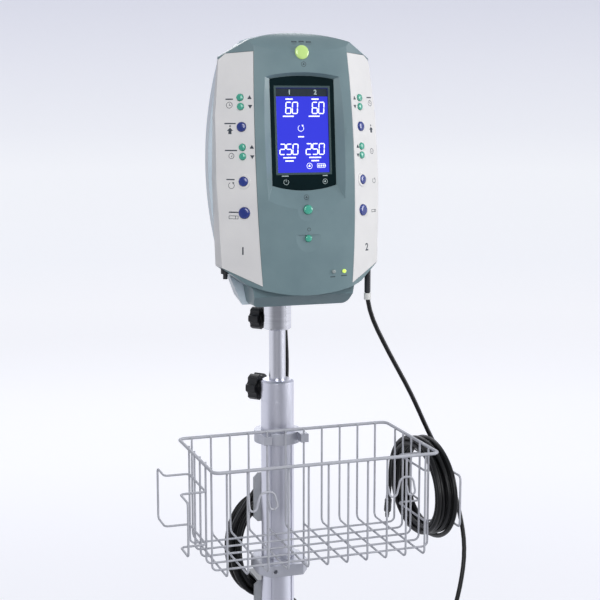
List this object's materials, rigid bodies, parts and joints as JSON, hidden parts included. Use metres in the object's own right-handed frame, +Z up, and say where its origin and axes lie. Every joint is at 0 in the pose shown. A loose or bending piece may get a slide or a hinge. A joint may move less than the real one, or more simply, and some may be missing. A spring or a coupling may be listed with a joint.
{
  "type": "surgical tourniquet system",
  "caption": "Dual-channel tourniquet console on a height-adjustable column with a wire basket, cord hooks, hoses and a wheeled base.",
  "frame": {"origin": "on the floor under the column's axis", "axes": "+Z up, the console's display faces -Y, its left side is -X"},
  "size_m": [0.5641, 0.5463, 1.3165],
  "materials": {
    "console_grey": "satin moulded plastic",
    "console_pale": "satin moulded plastic",
    "panel_white": "satin moulded plastic",
    "bezel_dark": "polished plastic",
    "lcd_blue": "lit display",
    "lens_green": "translucent lens",
    "button_green": "glossy cap",
    "button_blue": "glossy cap",
    "fitting_dark": "moulded",
    "board_green": "printed circuit board",
    "pump_black": "moulded",
    "valve_grey": "moulded",
    "battery_blue": "shrink film",
    "collar_chrome": "polished plating",
    "tube_silver": "satin anodised",
    "column_silver": "satin anodised",
    "knob_black": "moulded",
    "wire_grey": "powder coat",
    "clamp_grey": "cast, satin",
    "hook_grey": "powder coat",
    "base_silver": "cast, satin",
    "castor_grey": "moulded",
    "castor_tyre": "soft tread",
    "cord_black": "smooth jacket"
  },
  "bodies": {
    "stand": {"base_frame": "base_silver", "column": "column_silver", "column_sleeve": "column_silver", "height_collar": "column_silver", "basket_rim": "wire_grey", "basket_front_wires": "wire_grey", "basket_back_wires": "wire_grey", "basket_end_wires": "wire_grey", "basket_floor_wires": "wire_grey", "basket_wire_hooks": "wire_grey", "basket_clamps": "clamp_grey", "cord_hooks": "hook_grey", "mains_run": "cord_black", "mains_coil": "cord_black", "hose_run": "cord_black", "hose_floor_coil": "cord_black", "hose_hung_coil": "cord_black", "cord_ends": "cord_black"},
    "console": {"front_fascia": "console_grey", "rear_housing": "console_pale", "left_panel": "panel_white", "right_panel": "panel_white", "display_bezel": "bezel_dark", "lcd_panel": "lcd_blue", "indicator_lenses": "lens_green", "console_fittings": "fitting_dark", "control_board": "board_green", "air_pump": "pump_black", "valve_manifold": "valve_grey", "battery_pack": "battery_blue", "mount_collar": "collar_chrome", "inner_tube": "tube_silver"},
    "left_time_up_button": {"left_time_up_button": "button_green"},
    "left_time_down_button": {"left_time_down_button": "button_green"},
    "left_check_button": {"left_check_button": "button_blue"},
    "left_pressure_up_button": {"left_pressure_up_button": "button_green"},
    "left_pressure_down_button": {"left_pressure_down_button": "button_green"},
    "left_inflate_button": {"left_inflate_button": "button_blue"},
    "left_deflate_button": {"left_deflate_button": "button_blue"},
    "right_time_up_button": {"right_time_up_button": "button_green"},
    "right_time_down_button": {"right_time_down_button": "button_green"},
    "right_check_button": {"right_check_button": "button_blue"},
    "right_pressure_up_button": {"right_pressure_up_button": "button_green"},
    "right_pressure_down_button": {"right_pressure_down_button": "button_green"},
    "right_inflate_button": {"right_inflate_button": "button_blue"},
    "right_deflate_button": {"right_deflate_button": "button_blue"},
    "mute_button": {"mute_button": "button_green"},
    "power_button": {"power_button": "button_green"},
    "console_knob": {"console_knob": "knob_black"},
    "height_knob": {"height_knob": "knob_black"},
    "castor_1_yoke": {"castor_1_yoke": "castor_grey"},
    "castor_1_wheels": {"castor_1_wheels": "castor_tyre"},
    "castor_2_yoke": {"castor_2_yoke": "castor_grey"},
    "castor_2_wheels": {"castor_2_wheels": "castor_tyre"},
    "castor_3_yoke": {"castor_3_yoke": "castor_grey"},
    "castor_3_wheels": {"castor_3_wheels": "castor_tyre"},
    "castor_4_yoke": {"castor_4_yoke": "castor_grey"},
    "castor_4_wheels": {"castor_4_wheels": "castor_tyre"},
    "castor_5_yoke": {"castor_5_yoke": "castor_grey"},
    "castor_5_wheels": {"castor_5_wheels": "castor_tyre"}
  },
  "joints": [
    {"name": "height_slide", "type": "slide", "parent": "stand", "child": "console", "axis": [0, 0, 1], "range_m": [-0.05, 0.2], "deforming": ["mains_run", "hose_run"]},
    {"name": "left_time_up_press", "type": "slide", "parent": "console", "child": "left_time_up_button", "axis": [0.5397, 0.8303, -0.1393], "range_m": [0, 0.0012], "stiffness_N_per_m": 800, "springref_m": -0.001},
    {"name": "left_time_down_press", "type": "slide", "parent": "console", "child": "left_time_down_button", "axis": [0.5402, 0.8311, -0.1321], "range_m": [0, 0.0012], "stiffness_N_per_m": 800, "springref_m": -0.001},
    {"name": "left_check_press", "type": "slide", "parent": "console", "child": "left_check_button", "axis": [0.5413, 0.8328, -0.1163], "range_m": [0, 0.0012], "stiffness_N_per_m": 800, "springref_m": -0.001},
    {"name": "left_pressure_up_press", "type": "slide", "parent": "console", "child": "left_pressure_up_button", "axis": [0.5422, 0.8342, -0.1004], "range_m": [0, 0.0012], "stiffness_N_per_m": 800, "springref_m": -0.001},
    {"name": "left_pressure_down_press", "type": "slide", "parent": "console", "child": "left_pressure_down_button", "axis": [0.5426, 0.8348, -0.0932], "range_m": [0, 0.0012], "stiffness_N_per_m": 800, "springref_m": -0.001},
    {"name": "left_inflate_press", "type": "slide", "parent": "console", "child": "left_inflate_button", "axis": [0.5435, 0.8362, -0.0737], "range_m": [0, 0.0012], "stiffness_N_per_m": 800, "springref_m": -0.001},
    {"name": "left_deflate_press", "type": "slide", "parent": "console", "child": "left_deflate_button", "axis": [0.5443, 0.8374, -0.0492], "range_m": [0, 0.0012], "stiffness_N_per_m": 800, "springref_m": -0.001},
    {"name": "right_time_up_press", "type": "slide", "parent": "console", "child": "right_time_up_button", "axis": [-0.5397, 0.8303, -0.1393], "range_m": [0, 0.0012], "stiffness_N_per_m": 800, "springref_m": -0.001},
    {"name": "right_time_down_press", "type": "slide", "parent": "console", "child": "right_time_down_button", "axis": [-0.5402, 0.8311, -0.1321], "range_m": [0, 0.0012], "stiffness_N_per_m": 800, "springref_m": -0.001},
    {"name": "right_check_press", "type": "slide", "parent": "console", "child": "right_check_button", "axis": [-0.5413, 0.8328, -0.1163], "range_m": [0, 0.0012], "stiffness_N_per_m": 800, "springref_m": -0.001},
    {"name": "right_pressure_up_press", "type": "slide", "parent": "console", "child": "right_pressure_up_button", "axis": [-0.5422, 0.8342, -0.1004], "range_m": [0, 0.0012], "stiffness_N_per_m": 800, "springref_m": -0.001},
    {"name": "right_pressure_down_press", "type": "slide", "parent": "console", "child": "right_pressure_down_button", "axis": [-0.5426, 0.8348, -0.0932], "range_m": [0, 0.0012], "stiffness_N_per_m": 800, "springref_m": -0.001},
    {"name": "right_inflate_press", "type": "slide", "parent": "console", "child": "right_inflate_button", "axis": [-0.5435, 0.8362, -0.0737], "range_m": [0, 0.0012], "stiffness_N_per_m": 800, "springref_m": -0.001},
    {"name": "right_deflate_press", "type": "slide", "parent": "console", "child": "right_deflate_button", "axis": [-0.5443, 0.8374, -0.0492], "range_m": [0, 0.0012], "stiffness_N_per_m": 800, "springref_m": -0.001},
    {"name": "mute_press", "type": "slide", "parent": "console", "child": "mute_button", "axis": [0, 0.9975, -0.0701], "range_m": [0, 0.0012], "stiffness_N_per_m": 800, "springref_m": -0.001},
    {"name": "power_press", "type": "slide", "parent": "console", "child": "power_button", "axis": [0, 0.9988, -0.0487], "range_m": [0, 0.0012], "stiffness_N_per_m": 800, "springref_m": -0.001},
    {"name": "console_knob_turn", "type": "hinge", "parent": "console", "child": "console_knob", "pos_m": [0, 0, 0.9805], "axis": [-0.6428, 0.766, 0], "range_deg": [0, 540]},
    {"name": "height_knob_turn", "type": "hinge", "parent": "stand", "child": "height_knob", "pos_m": [0, 0, 0.895], "axis": [-0.6428, 0.766, 0], "range_deg": [0, 540]},
    {"name": "castor_1_swivel", "type": "hinge", "parent": "stand", "child": "castor_1_yoke", "pos_m": [0, 0.262, 0.1], "axis": [0, 0, 1], "continuous": true},
    {"name": "castor_1_roll", "type": "hinge", "parent": "castor_1_yoke", "child": "castor_1_wheels", "pos_m": [0.0093, 0.24206, 0.032], "axis": [0.9063, 0.4226, 0], "continuous": true},
    {"name": "castor_2_swivel", "type": "hinge", "parent": "stand", "child": "castor_2_yoke", "pos_m": [-0.24918, 0.08096, 0.1], "axis": [0, 0, 1], "continuous": true},
    {"name": "castor_2_roll", "type": "hinge", "parent": "castor_2_yoke", "child": "castor_2_wheels", "pos_m": [-0.24094, 0.06056, 0.032], "axis": [0.9272, 0.3746, 0], "continuous": true},
    {"name": "castor_3_swivel", "type": "hinge", "parent": "stand", "child": "castor_3_yoke", "pos_m": [-0.154, -0.21196, 0.1], "axis": [0, 0, 1], "continuous": true},
    {"name": "castor_3_roll", "type": "hinge", "parent": "castor_3_yoke", "child": "castor_3_wheels", "pos_m": [-0.17224, -0.22426, 0.032], "axis": [0.5592, -0.829, 0], "continuous": true},
    {"name": "castor_4_swivel", "type": "hinge", "parent": "stand", "child": "castor_4_yoke", "pos_m": [0.154, -0.21196, 0.1], "axis": [0, 0, 1], "continuous": true},
    {"name": "castor_4_roll", "type": "hinge", "parent": "castor_4_yoke", "child": "castor_4_wheels", "pos_m": [0.13423, -0.22161, 0.032], "axis": [0.4384, -0.8988, 0], "continuous": true},
    {"name": "castor_5_swivel", "type": "hinge", "parent": "stand", "child": "castor_5_yoke", "pos_m": [0.24918, 0.08096, 0.1], "axis": [0, 0, 1], "continuous": true},
    {"name": "castor_5_roll", "type": "hinge", "parent": "castor_5_yoke", "child": "castor_5_wheels", "pos_m": [0.25742, 0.10136, 0.032], "axis": [-0.9272, 0.3746, 0], "continuous": true}
  ]
}
